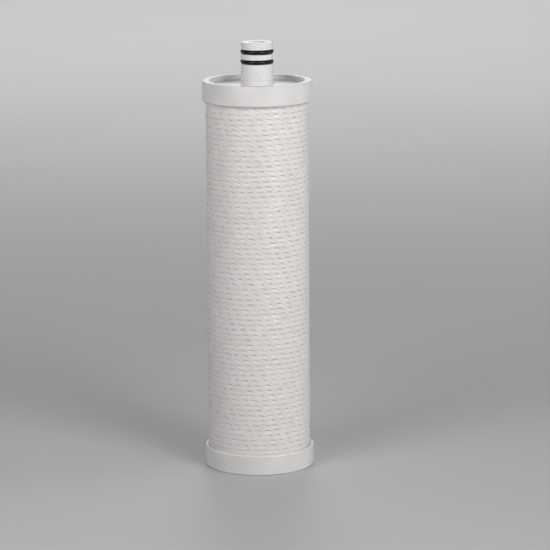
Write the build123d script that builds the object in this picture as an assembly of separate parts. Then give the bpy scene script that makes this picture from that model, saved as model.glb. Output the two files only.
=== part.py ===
from build123d import *
import os

# Replacement cartridge of a camping water filter, in millimetres, +Z up.
# A carbon block stands in soft layers and a net between two moulded end caps. The top cap carries
# the outlet spigot with its two O-rings. Every piece is turned about the Z axis, and the origin
# is on the ground, under the middle of the bottom cap.

# Overall sizes
RIM_HEIGHT = 250.0  # ground to the top cap's rim
SPIGOT_RISE = 24.2  # rim to the spigot's end
CAP_HEIGHT = 13.2
CAP_RADIUS_CLOSED = 34.85  # at the closed end of a cap
CAP_RADIUS_OPEN = 35.2  # the mould's draft widens the skirt towards its open edge
NET_RADIUS = 33.0

# End caps
SKIRT_INNER_RADIUS = 33.45
CLOSED_EDGE_ROUND = 1.0
OPEN_EDGE_ROUND = 1.2
SMALL_ROUND = 0.4
RIM_WIDTH = 4.5
DISH_DEPTH = 3.0
DISH_DRAFT = 0.45
DISH_CORNER_ROUND = 0.8
TOP_FLOOR_THICKNESS = 2.4
BOTTOM_FLOOR_THICKNESS = 3.0
FOOT_RING_WIDTH = 4.4
FOOT_RECESS = 0.6
FOOT_SLOPE = 0.4
PLUG_RADIUS = 9.2
PLUG_HEIGHT = 6.0
BOSS_RADIUS = 10.5
BOSS_HOLE_RADIUS = 9.4
SEAM_ABOVE_RIM = 0.5  # the welded joint between the boss and the spigot
GATE_RADIUS = 2.4  # the dimple that the mould's gate leaves under the bottom cap
GATE_DEPTH = 0.5

# Outlet spigot
LOWER_LAND_RADIUS = 10.3
MIDDLE_LAND_RADIUS = 10.25
UPPER_LAND_RADIUS = 9.95
SPIGOT_TAIL_RADIUS = 9.35
SPIGOT_TAIL_END = 238.0
OUTLET_RADIUS = 5.0
OUTLET_CHAMFER = 0.5
SPIGOT_EDGE_ROUND = 0.8
GROOVE_RADIUS = 7.9
GROOVE_WIDTH = 2.9
GROOVE_EDGE_ROUND = 0.2
LOWER_GROOVE_HEIGHT = 260.4
UPPER_GROOVE_HEIGHT = 266.7

# O-rings
RING_SECTION_RADIUS = 1.31
RING_CENTRE_RADIUS = 9.24

# Layers, from the outside in
NET_THICKNESS = 0.5
WRAP_THICKNESS = 1.0
PREFILTER_THICKNESS = 1.6
CORE_RADIUS = 10.3
LINER_THICKNESS = 0.75
LAYER_GAP = 0.05

# Adhesive that beds the layers in the caps
BOND_THICKNESS = 1.0
BOND_GAP = 0.02
COLLAR_RECESS = 0.5  # the collar stops this far inside the skirt's open edge

# Places that follow from the sizes above
DISH_FLOOR = RIM_HEIGHT - DISH_DEPTH
TOP_FLOOR_UNDERSIDE = DISH_FLOOR - TOP_FLOOR_THICKNESS
LAYERS_LOW = BOTTOM_FLOOR_THICKNESS + BOND_THICKNESS
LAYERS_HIGH = TOP_FLOOR_UNDERSIDE - BOND_THICKNESS
SPIGOT_SHOULDER = RIM_HEIGHT + SEAM_ABOVE_RIM
SPIGOT_END = RIM_HEIGHT + SPIGOT_RISE


def turned(corners):
    """Revolve a closed outline about Z. Each corner is (radius, height, rounding)."""
    points = [(radius, height) for radius, height, rounding in corners]
    roundings = [rounding for radius, height, rounding in corners]
    outline = FilletPolyline(*points, radius=roundings, close=True)
    return revolve(Plane.XZ * make_face(outline), Axis.Z)


def layer(outer_radius, thickness):
    """A plain tubular layer over the whole length between the adhesive beds."""
    inner_radius = outer_radius - thickness
    return turned([
        (inner_radius, LAYERS_LOW, 0),
        (outer_radius, LAYERS_LOW, 0),
        (outer_radius, LAYERS_HIGH, 0),
        (inner_radius, LAYERS_HIGH, 0),
    ])


def top_end_cap():
    """Cup-shaped cap, open downwards, with a dish and a boss for the spigot in its closed end."""
    rim_inner = CAP_RADIUS_CLOSED - RIM_WIDTH
    return turned([
        (CAP_RADIUS_OPEN, RIM_HEIGHT - CAP_HEIGHT, OPEN_EDGE_ROUND),
        (CAP_RADIUS_CLOSED, RIM_HEIGHT, CLOSED_EDGE_ROUND),
        (rim_inner, RIM_HEIGHT, SMALL_ROUND),
        (rim_inner - DISH_DRAFT, DISH_FLOOR, DISH_CORNER_ROUND),
        (BOSS_RADIUS, DISH_FLOOR, DISH_CORNER_ROUND),
        (BOSS_RADIUS, SPIGOT_SHOULDER, GROOVE_EDGE_ROUND),
        (BOSS_HOLE_RADIUS, SPIGOT_SHOULDER, 0),
        (BOSS_HOLE_RADIUS, TOP_FLOOR_UNDERSIDE, 0),
        (SKIRT_INNER_RADIUS, TOP_FLOOR_UNDERSIDE, SMALL_ROUND),
        (SKIRT_INNER_RADIUS, RIM_HEIGHT - CAP_HEIGHT, SMALL_ROUND),
    ])


def bottom_end_cap():
    """Cup-shaped cap, open upwards, with a foot ring below and a plug that closes the core."""
    foot_inner = CAP_RADIUS_CLOSED - FOOT_RING_WIDTH
    plug_top = BOTTOM_FLOOR_THICKNESS + PLUG_HEIGHT
    return turned([
        (0, FOOT_RECESS + GATE_DEPTH, 0),
        (GATE_RADIUS, FOOT_RECESS + GATE_DEPTH, GROOVE_EDGE_ROUND),
        (GATE_RADIUS, FOOT_RECESS, GROOVE_EDGE_ROUND),
        (foot_inner - FOOT_SLOPE, FOOT_RECESS, GROOVE_EDGE_ROUND),
        (foot_inner, 0, GROOVE_EDGE_ROUND),
        (CAP_RADIUS_CLOSED, 0, CLOSED_EDGE_ROUND),
        (CAP_RADIUS_OPEN, CAP_HEIGHT, OPEN_EDGE_ROUND),
        (SKIRT_INNER_RADIUS, CAP_HEIGHT, SMALL_ROUND),
        (SKIRT_INNER_RADIUS, BOTTOM_FLOOR_THICKNESS, SMALL_ROUND),
        (PLUG_RADIUS, BOTTOM_FLOOR_THICKNESS, SMALL_ROUND),
        (PLUG_RADIUS, plug_top, SMALL_ROUND),
        (0, plug_top, 0),
    ])


def outlet_spigot():
    """Hollow spigot with two O-ring grooves, and a tail that reaches down into the core."""
    lower_top = LOWER_GROOVE_HEIGHT + GROOVE_WIDTH
    upper_top = UPPER_GROOVE_HEIGHT + GROOVE_WIDTH
    return turned([
        (OUTLET_RADIUS, SPIGOT_TAIL_END, 0),
        (SPIGOT_TAIL_RADIUS, SPIGOT_TAIL_END, SMALL_ROUND),
        (SPIGOT_TAIL_RADIUS, SPIGOT_SHOULDER, 0),
        (LOWER_LAND_RADIUS, SPIGOT_SHOULDER, GROOVE_EDGE_ROUND),
        (LOWER_LAND_RADIUS, LOWER_GROOVE_HEIGHT, GROOVE_EDGE_ROUND),
        (GROOVE_RADIUS, LOWER_GROOVE_HEIGHT, GROOVE_EDGE_ROUND),
        (GROOVE_RADIUS, lower_top, GROOVE_EDGE_ROUND),
        (MIDDLE_LAND_RADIUS, lower_top, GROOVE_EDGE_ROUND),
        (MIDDLE_LAND_RADIUS, UPPER_GROOVE_HEIGHT, GROOVE_EDGE_ROUND),
        (GROOVE_RADIUS, UPPER_GROOVE_HEIGHT, GROOVE_EDGE_ROUND),
        (GROOVE_RADIUS, upper_top, GROOVE_EDGE_ROUND),
        (UPPER_LAND_RADIUS, upper_top, GROOVE_EDGE_ROUND),
        (UPPER_LAND_RADIUS, SPIGOT_END, SPIGOT_EDGE_ROUND),
        (OUTLET_RADIUS + OUTLET_CHAMFER, SPIGOT_END, 0),
        (OUTLET_RADIUS, SPIGOT_END - OUTLET_CHAMFER, 0),
    ])


def o_ring(groove_height):
    """A ring of round section, seated in the groove that starts at this height."""
    centre_height = groove_height + GROOVE_WIDTH / 2
    return Pos(0, 0, centre_height) * Torus(RING_CENTRE_RADIUS, RING_SECTION_RADIUS)


def adhesive(inner_radius, floor, layers_end, collar_end):
    """A bed of adhesive between a cap's floor and the layers, with a collar up the skirt."""
    outer_radius = SKIRT_INNER_RADIUS - LAYER_GAP
    collar_inner = NET_RADIUS + BOND_GAP
    return turned([
        (inner_radius, floor, 0),
        (inner_radius, layers_end, 0),
        (collar_inner, layers_end, 0),
        (collar_inner, collar_end, 0),
        (outer_radius, collar_end, 0),
        (outer_radius, floor, SMALL_ROUND),
    ])


def top_bond():
    return adhesive(
        inner_radius=BOSS_HOLE_RADIUS,
        floor=TOP_FLOOR_UNDERSIDE - BOND_GAP,
        layers_end=LAYERS_HIGH + BOND_GAP,
        collar_end=RIM_HEIGHT - CAP_HEIGHT + COLLAR_RECESS,
    )


def bottom_bond():
    return adhesive(
        inner_radius=PLUG_RADIUS + SMALL_ROUND + LAYER_GAP,
        floor=BOTTOM_FLOOR_THICKNESS + BOND_GAP,
        layers_end=LAYERS_LOW - BOND_GAP,
        collar_end=CAP_HEIGHT - COLLAR_RECESS,
    )


def filter_layers():
    """The net, the two soft layers and the block, each inside the last, then the core's liner."""
    layers = {}
    outer_radius = NET_RADIUS
    for name, thickness in [
        ("net_sleeve", NET_THICKNESS),
        ("outer_wrap", WRAP_THICKNESS),
        ("prefilter_layer", PREFILTER_THICKNESS),
    ]:
        layers[name] = layer(outer_radius, thickness)
        outer_radius -= thickness + LAYER_GAP
    layers["carbon_block"] = layer(outer_radius, outer_radius - CORE_RADIUS)
    layers["core_liner"] = layer(CORE_RADIUS - LAYER_GAP, LINER_THICKNESS)
    return layers


def main():
    pieces = {
        "top_end_cap": top_end_cap(),
        "bottom_end_cap": bottom_end_cap(),
        "outlet_spigot": outlet_spigot(),
        "upper_o_ring": o_ring(UPPER_GROOVE_HEIGHT),
        "lower_o_ring": o_ring(LOWER_GROOVE_HEIGHT),
        "top_bond": top_bond(),
        "bottom_bond": bottom_bond(),
        **filter_layers(),
    }
    os.makedirs("parts", exist_ok=True)
    for name, piece in pieces.items():
        export_step(piece, f"parts/{name}.step")


main()
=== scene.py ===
import bpy
import math
import numpy as np
from mathutils import Matrix, Vector


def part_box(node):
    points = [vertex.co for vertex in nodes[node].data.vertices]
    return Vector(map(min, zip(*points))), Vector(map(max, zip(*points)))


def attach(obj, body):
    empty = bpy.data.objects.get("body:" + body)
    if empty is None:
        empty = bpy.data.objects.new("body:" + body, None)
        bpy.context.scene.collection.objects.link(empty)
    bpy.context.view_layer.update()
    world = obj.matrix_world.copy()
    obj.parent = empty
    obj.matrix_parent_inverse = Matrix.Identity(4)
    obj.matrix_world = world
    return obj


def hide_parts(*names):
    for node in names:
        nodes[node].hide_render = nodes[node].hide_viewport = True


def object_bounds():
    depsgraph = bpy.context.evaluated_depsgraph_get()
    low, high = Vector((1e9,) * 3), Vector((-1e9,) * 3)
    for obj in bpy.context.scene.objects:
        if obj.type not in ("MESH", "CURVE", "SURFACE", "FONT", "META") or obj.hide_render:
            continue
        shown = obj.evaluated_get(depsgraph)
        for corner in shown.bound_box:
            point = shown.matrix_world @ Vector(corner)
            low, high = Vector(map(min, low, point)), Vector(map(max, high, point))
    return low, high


# A water filter cartridge: netted white body, two moulded caps, spigot with O-rings.
# Lengths are in metres, as in the frame. MM turns millimetres into metres.
MM = 0.001
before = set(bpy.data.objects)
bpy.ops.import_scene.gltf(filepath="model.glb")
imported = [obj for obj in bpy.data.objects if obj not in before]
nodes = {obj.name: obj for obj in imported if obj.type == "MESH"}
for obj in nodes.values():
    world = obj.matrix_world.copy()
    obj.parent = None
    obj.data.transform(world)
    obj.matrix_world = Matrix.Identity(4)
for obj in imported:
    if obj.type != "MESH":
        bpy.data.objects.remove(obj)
cad_low, cad_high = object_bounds()

# ---------------------------------------------------------------- sizes read from the frame
net_low, net_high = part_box("net_sleeve")
wrap_low, wrap_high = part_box("outer_wrap")
top_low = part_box("top_end_cap")[0]
NET_RADIUS = net_high.x
WRAP_RADIUS = wrap_high.x

# ---------------------------------------------------------------- netting
NET_COLUMNS = 33  # strands that run up the body
NET_PITCH = 3.25 * MM  # rise of the hoop strand in one turn
NET_LEAN = 1.4 * MM  # sideways step of an upright strand at each hoop
NET_CELL_WIDTH = (2 * math.pi * NET_RADIUS - NET_LEAN) / NET_COLUMNS
NET_THICKNESS = 0.9 * (NET_RADIUS - WRAP_RADIUS)
NET_SIDE_WANDER = 0.25 * MM  # how far the strands stray sideways and up, in slow waves
NET_RISE_WANDER = 0.16 * MM
HOOP_POINTS = 4  # points along the hoop strand in each cell
HOOP_WAVE = 0.025  # unevenness of the hoop strand, as a share of the pitch
HOOP_SEED = 12
NET_LIP = 0.33 * MM  # how far the hoop strand stands out below each opening
LEAST_LIP = 0.2  # the flattest lip, as a share of the highest

OPENING_HALF_WIDTH = 1.2 * MM
OPENING_HALF_HEIGHT = 0.32 * MM
OPENING_LIFT = 0.27 * MM  # the openings sit above the middle of their cells
OPENING_SQUARENESS = 2.4  # exponent of the opening's superellipse
OPENING_STRETCH = 0.16  # slow change of the openings' size over the body
WIDTH_SPREAD, LEAST_WIDTH, MOST_WIDTH = 0.4, 0.25, 1.85  # shares of the half width
HEIGHT_SPREAD, LEAST_HEIGHT, MOST_HEIGHT = 0.55, 0.08, 2.2  # shares of the half height
SHIFT_SPREAD, MOST_SHIFT = 0.2 * MM, 0.4 * MM
SHIFT_SHARES = (1, 0.6)  # an opening strays less up and down than sideways
TILT_MEAN, TILT_SPREAD = -0.06, 0.07  # slope of an opening's long axis
OPENING_SEED = 11

# Rings of a strand's section, from its crown to the opening's foot: how far towards the opening's
# edge, the opening's scale there, the depth under the crown, and how much less it is at the top.
NET_SECTION = (
    (0.42, 1.0, 0.26 * MM, 0.08 * MM),
    (1.0, 1.0, 0.37 * MM, 0.05 * MM),
    (1.0, 0.75, NET_THICKNESS, 0.0),
)

# ---------------------------------------------------------------- nonwoven wrap
WRAP_LAP = 9 * MM  # overlap of the nonwoven's two ends, at the back
WRAP_TUCK = 0.3 * MM  # how far the inner end lies under the outer one
WRAP_UNEVENNESS = 0.03 * MM
WRAP_COLUMNS, WRAP_ROWS = 264, 296  # faces of its mesh, round and up
FIBRE_TURNS = (0.15, 0.95, 1.7, 2.5)  # directions of the fibres, in radians
FIBRE_SLENDERNESS = 26

# ---------------------------------------------------------------- camera
CAMERA_PLACE = (0, -1.8046, 0.4818)
CAMERA_TILT = math.radians(11.221)  # down from level
CAMERA_PAN = math.radians(0.337)  # to the right of +Y
CAMERA_ROLL = math.radians(-0.330)
CAMERA_LENS = 187.53  # millimetres, on a sensor 36 mm wide


def smooth_waves(angle, height, seed, size, count=7, lowest=1, highest=6):
    """A gentle random field on the cylinder that closes on itself round the axis."""
    random = np.random.default_rng(seed)
    field = np.zeros(np.broadcast(angle, height).shape)
    for _ in range(count):
        turns = random.integers(lowest, highest + 1)
        climb = random.uniform(-1, 1) * highest / NET_RADIUS
        phase = random.uniform(0, 2 * math.pi)
        field = field + np.sin(turns * angle + climb * height + phase)
    return field * size / math.sqrt(count)


def new_mesh_object(name, points, faces, material, smooth=True):
    mesh = bpy.data.meshes.new(name)
    mesh.from_pydata(points, [], faces)
    mesh.polygons.foreach_set("use_smooth", [smooth] * len(mesh.polygons))
    mesh.materials.append(material)
    piece = bpy.data.objects.new(name, mesh)
    bpy.context.scene.collection.objects.link(piece)
    return piece


# ---------------------------------------------------------------- pieces made here
def net_place(step, rise, sink):
    """Points of the net. The cells lie end to end on one helix: step counts cells along it, rise
    goes from one turn of the helix to the next, and sink is the depth under the outer surface."""
    angle = (step * NET_CELL_WIDTH - rise * NET_LEAN) / NET_RADIUS
    height = net_low.z + (step / NET_COLUMNS + rise) * NET_PITCH
    wander = smooth_waves(angle, height, seed=3, size=NET_SIDE_WANDER) / NET_RADIUS
    height = height + smooth_waves(angle, height, seed=4, size=NET_RISE_WANDER)
    radius = NET_RADIUS - sink
    return np.stack([radius * np.sin(angle + wander), -radius * np.cos(angle + wander), height], -1)


def net_outline():
    """The points round a cell, across and up from its middle, as shares of the cell's size."""
    across = np.linspace(-0.5, 0.5, HOOP_POINTS + 1)
    lower = [(x, -0.5) for x in across] + [(0.5, 0)]
    upper = [(-x, 0.5) for x in across] + [(-0.5, 0)]
    return np.array(lower + upper)


def random_shares(random, count, spread, least, most):
    """Random factors about 1, one for each cell."""
    return np.clip(random.normal(1, spread, (count, 1)), least, most)


def net_openings(count, outline):
    """The edge of each cell's rounded opening, in metres across and up from the cell's middle."""
    random = np.random.default_rng(OPENING_SEED)
    cell = np.arange(count)[:, None]
    angle = cell * 2 * math.pi / NET_COLUMNS
    climb = cell * NET_PITCH / NET_COLUMNS
    waves = smooth_waves(angle, climb, seed=21, size=OPENING_STRETCH, count=9, lowest=2, highest=9)
    stretch = 1 + waves
    width = OPENING_HALF_WIDTH * stretch
    width = width * random_shares(random, count, WIDTH_SPREAD, LEAST_WIDTH, MOST_WIDTH)
    height = OPENING_HALF_HEIGHT * stretch
    height = height * random_shares(random, count, HEIGHT_SPREAD, LEAST_HEIGHT, MOST_HEIGHT)
    shift = np.clip(random.normal(0, SHIFT_SPREAD, (count, 1, 2)), -MOST_SHIFT, MOST_SHIFT)
    shift = shift * SHIFT_SHARES + (0, OPENING_LIFT)
    tilt = random.normal(TILT_MEAN, TILT_SPREAD, (count, 1))
    turn = np.arctan2(outline[:, 1], outline[:, 0])
    power = 2 / OPENING_SQUARENESS
    across = width * np.sign(np.cos(turn)) * np.abs(np.cos(turn)) ** power
    up = height * np.sign(np.sin(turn)) * np.abs(np.sin(turn)) ** power
    return np.stack([across - up * tilt, up + across * tilt], -1) + shift


def net_shared_points(count):
    """Points that neighbouring cells share: all along the hoop strand, then one halfway up each
    upright strand. Returns those on the front, and the same ones on the back."""
    line = np.arange(HOOP_POINTS * (count + NET_COLUMNS) + 1) / HOOP_POINTS
    side = np.arange(count + 1)
    random = np.random.default_rng(HOOP_SEED)
    lip = random.uniform(LEAST_LIP, 1, count + NET_COLUMNS + 1)[line.astype(int)]
    lip *= 1 - (1 - 2 * np.abs(line - np.round(line))) ** 2
    wave = random.normal(0, HOOP_WAVE, len(line))
    front = [net_place(line, wave, NET_LIP * (1 - lip)), net_place(side, 0.5, NET_LIP)]
    back = [net_place(line, wave, NET_THICKNESS), net_place(side, 0.5, NET_THICKNESS)]
    return np.concatenate(front), np.concatenate(back)


def net_shared_ring(count):
    """For each cell, the numbers of the shared points round it, in the order of net_outline."""
    lower_left = HOOP_POINTS * np.arange(count)[:, None]
    upper_left = lower_left + HOOP_POINTS * NET_COLUMNS
    left_side = np.arange(count)[:, None] + HOOP_POINTS * (count + NET_COLUMNS) + 1
    lower = [lower_left + k for k in range(HOOP_POINTS + 1)] + [left_side + 1]
    upper = [upper_left + HOOP_POINTS - k for k in range(HOOP_POINTS + 1)] + [left_side]
    return np.concatenate(lower + upper, 1)


def build_net(material):
    """Extruded netting: one mesh of cells, each a rounded opening between two upright strands and
    two turns of the hoop strand. The cells follow a helix, so they join all round the body. The
    strands' walls are open only at the net's two ends, which the caps hide."""
    count = int((net_high.z - net_low.z) / NET_PITCH * NET_COLUMNS) - NET_COLUMNS
    outline = net_outline()
    around = len(outline)
    openings = net_openings(count, outline)
    middles = openings.mean(1, keepdims=True)
    middle_step = np.arange(count)[:, None] + 0.5
    front, back = net_shared_points(count)

    points, rings = [front], [net_shared_ring(count)]
    first = len(front)
    for share, scale, depth, slant in NET_SECTION:
        edge = middles + scale * (openings - middles)
        edge_rise = edge[..., 1] / NET_PITCH
        edge_step = (edge[..., 0] + edge_rise * NET_LEAN) / NET_CELL_WIDTH
        step = (1 - share) * outline[:, 0] + share * edge_step
        rise = (1 - share) * outline[:, 1] + share * edge_rise
        sink = depth - 2 * slant * outline[:, 1]
        points.append(net_place(middle_step + step, 0.5 + rise, sink).reshape(-1, 3))
        rings.append(first + np.arange(count * around).reshape(count, around))
        first += count * around
    points.append(back)
    rings.append(rings[0] + first)

    faces = []
    for outer, inner in zip(rings, rings[1:]):
        next_outer, next_inner = np.roll(outer, -1, 1), np.roll(inner, -1, 1)
        faces.append(np.stack([outer, next_outer, next_inner, inner], -1).reshape(-1, 4))
    return new_mesh_object("net_strands", np.concatenate(points), np.concatenate(faces), material)


def build_wrap(material):
    """The nonwoven, one sheet round the body, whose outer end laps the inner one at the back."""
    lap = WRAP_LAP / WRAP_RADIUS
    angle, height = np.meshgrid(
        np.linspace(math.pi - lap, 3 * math.pi, WRAP_COLUMNS + 1),
        np.linspace(wrap_low.z, wrap_high.z, WRAP_ROWS + 1),
    )
    out = np.clip((angle - math.pi) / lap, 0, 1)
    out = out * out * (3 - 2 * out)
    radius = WRAP_RADIUS - WRAP_TUCK * (1 - out)
    waves = smooth_waves(angle, height, seed=8, size=WRAP_UNEVENNESS, count=9, lowest=2, highest=14)
    radius -= np.abs(waves) * out
    points = np.stack([radius * np.sin(angle), -radius * np.cos(angle), height], -1).reshape(-1, 3)
    across = WRAP_COLUMNS + 1
    corner = (np.arange(WRAP_ROWS)[:, None] * across + np.arange(WRAP_COLUMNS)).reshape(-1, 1)
    faces = corner + np.array([0, 1, across + 1, across])
    return new_mesh_object("wrap_sheet", points, faces, material)


# ---------------------------------------------------------------- materials
class Graph:
    """A short way to write a material's nodes. Scales are features per metre."""

    def __init__(self, name):
        self.material = bpy.data.materials.new(name)
        self.material.use_nodes = True
        self.tree = self.material.node_tree
        self.tree.nodes.clear()
        self.output = self.node("ShaderNodeOutputMaterial")
        self.shader = self.node("ShaderNodeBsdfPrincipled")
        self.link(self.shader.outputs[0], self.output.inputs[0])

    def node(self, kind, **settings):
        made = self.tree.nodes.new(kind)
        for key, value in settings.items():
            setattr(made, key, value)
        return made

    def link(self, source, target):
        """Join an output to an input, or set the input to a number or colour."""
        if isinstance(source, (int, float, tuple)):
            target.default_value = source
        else:
            self.tree.links.new(source, target)

    def math(self, operation, a, b=0.0):
        made = self.node("ShaderNodeMath", operation=operation)
        self.link(a, made.inputs[0])
        self.link(b, made.inputs[1])
        return made.outputs[0]

    def position(self):
        return self.node("ShaderNodeTexCoord").outputs["Object"]

    def split_position(self):
        split = self.node("ShaderNodeSeparateXYZ")
        self.link(self.position(), split.inputs[0])
        return split.outputs

    def round_body(self, radius):
        """Coordinates unrolled from the body: arc length, height, distance from the axis."""
        x, y, z = self.split_position()
        angle = self.math("ARCTAN2", x, self.math("MULTIPLY", y, -1.0))
        square = self.math("ADD", self.math("POWER", x, 2.0), self.math("POWER", y, 2.0))
        joined = self.node("ShaderNodeCombineXYZ")
        self.link(self.math("MULTIPLY", angle, radius), joined.inputs[0])
        self.link(z, joined.inputs[1])
        self.link(self.math("SQRT", square), joined.inputs[2])
        return joined.outputs[0]

    def stretched(self, vector, scale, turn=0.0):
        made = self.node("ShaderNodeMapping")
        self.link(vector, made.inputs["Vector"])
        made.inputs["Rotation"].default_value = (0, 0, turn)
        made.inputs["Scale"].default_value = scale
        return made.outputs[0]

    def noise(self, vector, scale, detail=3.0, roughness=0.5, distortion=0.0):
        made = self.node("ShaderNodeTexNoise")
        self.link(vector, made.inputs["Vector"])
        made.inputs["Scale"].default_value = scale
        made.inputs["Detail"].default_value = detail
        made.inputs["Roughness"].default_value = roughness
        made.inputs["Distortion"].default_value = distortion
        return made.outputs[0]

    def cells(self, vector, scale):
        made = self.node("ShaderNodeTexVoronoi")
        self.link(vector, made.inputs["Vector"])
        made.inputs["Scale"].default_value = scale
        return made.outputs["Distance"]

    def span(self, value, low, high, new_low=0.0, new_high=1.0):
        made = self.node("ShaderNodeMapRange")
        for socket, number in zip(made.inputs[:5], (value, low, high, new_low, new_high)):
            self.link(number, socket)
        return made.outputs[0]

    def colours(self, share, dark, light):
        made = self.node("ShaderNodeMix", data_type="RGBA")
        self.link(share, made.inputs["Factor"])
        made.inputs[6].default_value = (*dark, 1)
        made.inputs[7].default_value = (*light, 1)
        return made.outputs[2]

    def bump(self, height, distance, after=None):
        made = self.node("ShaderNodeBump")
        made.inputs["Strength"].default_value = 1.0
        made.inputs["Distance"].default_value = distance
        self.link(height, made.inputs["Height"])
        if after is not None:
            self.link(after, made.inputs["Normal"])
        return made.outputs[0]

    def finish(self, **values):
        """Set the shader's inputs by name and return the material."""
        for name, value in values.items():
            self.link(value, self.shader.inputs[name.replace("_", " ")])
        return self.material


def moulded_plastic(name, dark, light, rough_low, rough_high):
    """White moulded polypropylene: faint clouding, a fine satin grain and light handling scuffs."""
    g = Graph(name)
    where = g.position()
    clouds = g.noise(where, 60, detail=2)
    grain = g.noise(where, 2600, detail=2)
    scuffs = g.noise(g.stretched(where, (420, 420, 700)), 1, detail=4, roughness=0.65)
    normal = g.bump(grain, 0.007 * MM)
    normal = g.bump(g.noise(where, 220, detail=1), 0.02 * MM, after=normal)
    return g.finish(
        Base_Color=g.colours(g.span(clouds, 0.3, 0.7), dark, light),
        Roughness=g.span(scuffs, 0.35, 0.7, rough_low, rough_high),
        Normal=normal,
        Subsurface_Weight=0.12,
        Subsurface_Radius=(1.0, 0.95, 0.9),
        Subsurface_Scale=1.5 * MM,
    )


def net_plastic():
    """Extruded netting: soft white with fine draw lines, duller and glossier from place to place."""
    g = Graph("net_plastic")
    flat = g.round_body(NET_RADIUS)
    patches = g.noise(flat, 170, detail=2)
    lines = g.noise(g.stretched(flat, (5200, 700, 5200)), 1, detail=2)
    gloss = g.noise(flat, 640, detail=2)
    normal = g.bump(lines, 0.02 * MM)
    normal = g.bump(g.noise(flat, 900, detail=2), 0.05 * MM, after=normal)
    return g.finish(
        Base_Color=g.colours(g.span(patches, 0.3, 0.7), (0.81, 0.775, 0.765), (0.87, 0.838, 0.828)),
        Roughness=g.span(gloss, 0.35, 0.65, 0.22, 0.5),
        Normal=normal,
        Subsurface_Weight=0.1,
        Subsurface_Radius=(1.0, 0.95, 0.9),
        Subsurface_Scale=1.0 * MM,
    )


def fibres(g, flat, fineness):
    """The height of a mat of fibres that lie every way."""
    top = None
    scale = (fineness, fineness / FIBRE_SLENDERNESS, fineness)
    for turn in FIBRE_TURNS:
        strand = g.noise(g.stretched(flat, scale, turn), 1, detail=1.5)
        ridge = g.math("ABSOLUTE", g.math("SUBTRACT", strand, 0.5))
        ridge = g.span(ridge, 0.0, 0.07, 1.0, 0.0)
        top = ridge if top is None else g.math("MAXIMUM", top, ridge)
    return top


def nonwoven(name, dark, light, fineness, depth):
    """Nonwoven of white fibres, denser in some places, with painted shade between the fibres."""
    g = Graph(name)
    flat = g.round_body(WRAP_RADIUS)
    mat = fibres(g, flat, fineness)
    clouds = g.noise(flat, 320, detail=3)
    # The colour mixes painted shade, darker in the gaps between fibres, with the real clouding of
    # the mat's density.
    painted_gap_shade_and_density = g.math("ADD", g.math("MULTIPLY", mat, 0.55), g.math("MULTIPLY", clouds, 0.45))
    normal = g.bump(mat, depth)
    normal = g.bump(clouds, 0.25 * MM, after=normal)
    return g.finish(
        Base_Color=g.colours(g.span(painted_gap_shade_and_density, 0.2, 0.8), dark, light),
        Roughness=g.span(mat, 0, 1, 0.95, 0.8),
        Normal=normal,
        Sheen_Weight=0.25,
        Sheen_Roughness=0.5,
    )


def rubber(node):
    """Greased black rubber, with a faint mould line round the outside of the ring."""
    g = Graph(node + "_rubber")
    where = g.position()
    smear = g.noise(where, 380, detail=3)
    low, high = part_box(node)
    height = g.split_position()[2]
    off_line = g.math("ABSOLUTE", g.math("SUBTRACT", height, (low.z + high.z) / 2))
    normal = g.bump(g.span(off_line, 0.03 * MM, 0.1 * MM, 1.0, 0.0), 0.04 * MM)
    normal = g.bump(g.noise(where, 2200, detail=2), 0.01 * MM, after=normal)
    return g.finish(
        Base_Color=g.colours(smear, (0.004, 0.004, 0.004), (0.009, 0.009, 0.009)),
        Roughness=g.span(smear, 0.3, 0.7, 0.2, 0.36),
        Normal=normal,
        Specular_IOR_Level=0.3,
    )


def carbon():
    """Bound carbon grains."""
    g = Graph("carbon_grains")
    where = g.position()
    grains = g.cells(where, 1500)
    pores = g.noise(where, 5000, detail=3)
    return g.finish(
        Base_Color=g.colours(pores, (0.006, 0.006, 0.006), (0.035, 0.035, 0.036)),
        Roughness=g.span(grains, 0, 0.7, 0.55, 0.9),
        Normal=g.bump(grains, 0.2 * MM),
    )


def hot_melt():
    """Set adhesive: waxy, a little uneven, slightly yellow."""
    g = Graph("hot_melt")
    swirl = g.noise(g.position(), 300, detail=3, distortion=0.6)
    return g.finish(
        Base_Color=g.colours(swirl, (0.70, 0.68, 0.61), (0.80, 0.78, 0.73)),
        Roughness=g.span(swirl, 0.3, 0.7, 0.25, 0.42),
        Normal=g.bump(swirl, 0.15 * MM),
        Subsurface_Weight=0.2,
        Subsurface_Radius=(1.0, 0.9, 0.75),
        Subsurface_Scale=2 * MM,
    )


def finish_node(name, material):
    """Give a CAD node its material."""
    for place in nodes[name].material_slots:
        place.material = material


# ---------------------------------------------------------------- stage, light, camera
def build_floor():
    """A wide pale floor, round, just under the foot."""
    g = Graph("floor_pale")
    tone = g.noise(g.position(), 3, detail=3)
    material = g.finish(
        Base_Color=g.colours(tone, (0.55, 0.55, 0.55), (0.58, 0.58, 0.58)),
        Roughness=0.55,
        Normal=g.bump(g.noise(g.position(), 900, detail=2), 0.02 * MM),
    )
    corners, reach, drop = 96, 9.0, 0.02 * MM
    ring = []
    for corner in range(corners):
        angle = 2 * math.pi * corner / corners
        ring.append((reach * math.cos(angle), reach * math.sin(angle), -drop))
    floor = new_mesh_object("floor", ring, [tuple(range(corners))], material, smooth=False)


def area_light(name, azimuth, elevation, distance, size, power, target):
    """A soft box. Azimuth 0 is in front of the object and 90 on its right."""
    data = bpy.data.lights.new(name, "AREA")
    data.shape = "RECTANGLE"
    data.size, data.size_y = size
    data.energy = power
    lamp = bpy.data.objects.new(name, data)
    bpy.context.scene.collection.objects.link(lamp)
    a, e = math.radians(azimuth), math.radians(elevation)
    away = Vector((math.sin(a) * math.cos(e), -math.cos(a) * math.cos(e), math.sin(e)))
    lamp.location = target + away * distance
    lamp.rotation_mode = "QUATERNION"
    lamp.rotation_quaternion = away.to_track_quat("Z", "Y")


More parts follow.
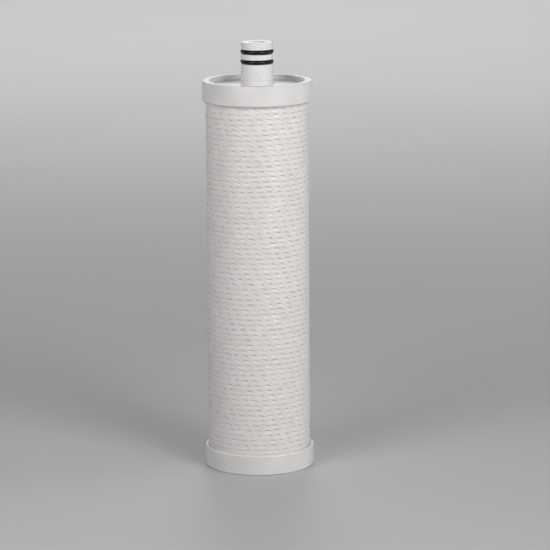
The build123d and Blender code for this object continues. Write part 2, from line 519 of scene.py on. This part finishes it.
def build_object_lights():
    """Soft boxes round the object: azimuth, elevation, distance, size, power and target."""
    middle = Vector((0, 0, (cad_low.z + cad_high.z) / 2))
    top = Vector((0, 0, top_low.z))
    area_light("key_box", 33, 25, 2.2, (0.9, 1.3), 16.6, middle)
    area_light("right_box", 95, 12, 4.2, (1.7, 1.7), 31, middle)
    area_light("back_box", 180, 14, 4.2, (2.2, 1.3), 20, middle)
    area_light("back_left_box", -120, 12, 4.2, (1.7, 1.7), 14, middle)
    area_light("near_left_box", -40, 25, 0.75, (0.4, 0.5), 2.4, top)
    area_light("near_right_box", 45, 25, 0.75, (0.4, 0.5), 1.4, top)


def build_floor_lights():
    """One box over the far floor, and a ring of boxes that light the floor outwards. The ring's
    boxes face away from the object, so that only the floor gets their light."""
    area_light("far_floor_box", 0, 89, 2.2, (5, 4), 20, Vector((0, 4.2, 0)))
    radius, height, tilt, size, power = 1.6, 2.2, 32, (1.6, 1.0), 25
    for azimuth in range(0, 360, 60):
        a = math.radians(azimuth)
        place = Vector((radius * math.sin(a), -radius * math.cos(a), height))
        area_light(f"floor_box_{azimuth}", azimuth + 180, tilt, 0, size, power, place)


def build_world():
    """A dim white surround."""
    world = bpy.data.worlds.new("studio")
    world.use_nodes = True
    background = world.node_tree.nodes["Background"]
    background.inputs["Color"].default_value = (1.0, 1.0, 1.0, 1)
    background.inputs["Strength"].default_value = 0.03
    bpy.context.scene.world = world


def build_camera():
    """A long lens in front of the object and a little above it."""
    ahead = Vector((
        math.sin(CAMERA_PAN) * math.cos(CAMERA_TILT),
        math.cos(CAMERA_PAN) * math.cos(CAMERA_TILT),
        -math.sin(CAMERA_TILT),
    ))
    right = ahead.cross(Vector((0, 0, 1))).normalized()
    up = right.cross(ahead)
    across = math.cos(CAMERA_ROLL) * right + math.sin(CAMERA_ROLL) * up
    upward = -math.sin(CAMERA_ROLL) * right + math.cos(CAMERA_ROLL) * up
    data = bpy.data.cameras.new("camera")
    data.lens = CAMERA_LENS
    data.sensor_width = 36
    data.clip_end = 50
    camera = bpy.data.objects.new("camera", data)
    bpy.context.scene.collection.objects.link(camera)
    turn = Matrix((across, upward, -ahead)).transposed().to_4x4()
    camera.matrix_world = Matrix.Translation(CAMERA_PLACE) @ turn
    bpy.context.scene.camera = camera


# ---------------------------------------------------------------- build
cap_white = moulded_plastic(
    "cap_plastic",
    dark=(0.76, 0.742, 0.733),
    light=(0.82, 0.806, 0.797),
    rough_low=0.28,
    rough_high=0.36,
)
spigot_white = moulded_plastic(
    "spigot_plastic",
    dark=(0.80, 0.787, 0.778),
    light=(0.85, 0.838, 0.828),
    rough_low=0.24,
    rough_high=0.32,
)
wrap_white = nonwoven(
    "wrap_fibres",
    dark=(0.68, 0.665, 0.655),
    light=(0.84, 0.825, 0.815),
    fineness=5200,
    depth=0.07 * MM,
)
inner_white = nonwoven(
    "inner_fibres",
    dark=(0.7, 0.69, 0.67),
    light=(0.86, 0.85, 0.83),
    fineness=3800,
    depth=0.1 * MM,
)
glue = hot_melt()

finish_node("top_end_cap", cap_white)
finish_node("bottom_end_cap", cap_white)
finish_node("outlet_spigot", spigot_white)
finish_node("upper_o_ring", rubber("upper_o_ring"))
finish_node("lower_o_ring", rubber("lower_o_ring"))
finish_node("prefilter_layer", inner_white)
finish_node("core_liner", inner_white)
finish_node("carbon_block", carbon())
finish_node("top_bond", glue)
finish_node("bottom_bond", glue)

net = build_net(net_plastic())
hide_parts("net_sleeve")
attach(net, "root")

wrap = build_wrap(wrap_white)
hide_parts("outer_wrap")
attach(wrap, "root")

build_floor()
build_object_lights()
build_floor_lights()
build_world()
build_camera()
bpy.context.scene.view_settings.view_transform = "Standard"
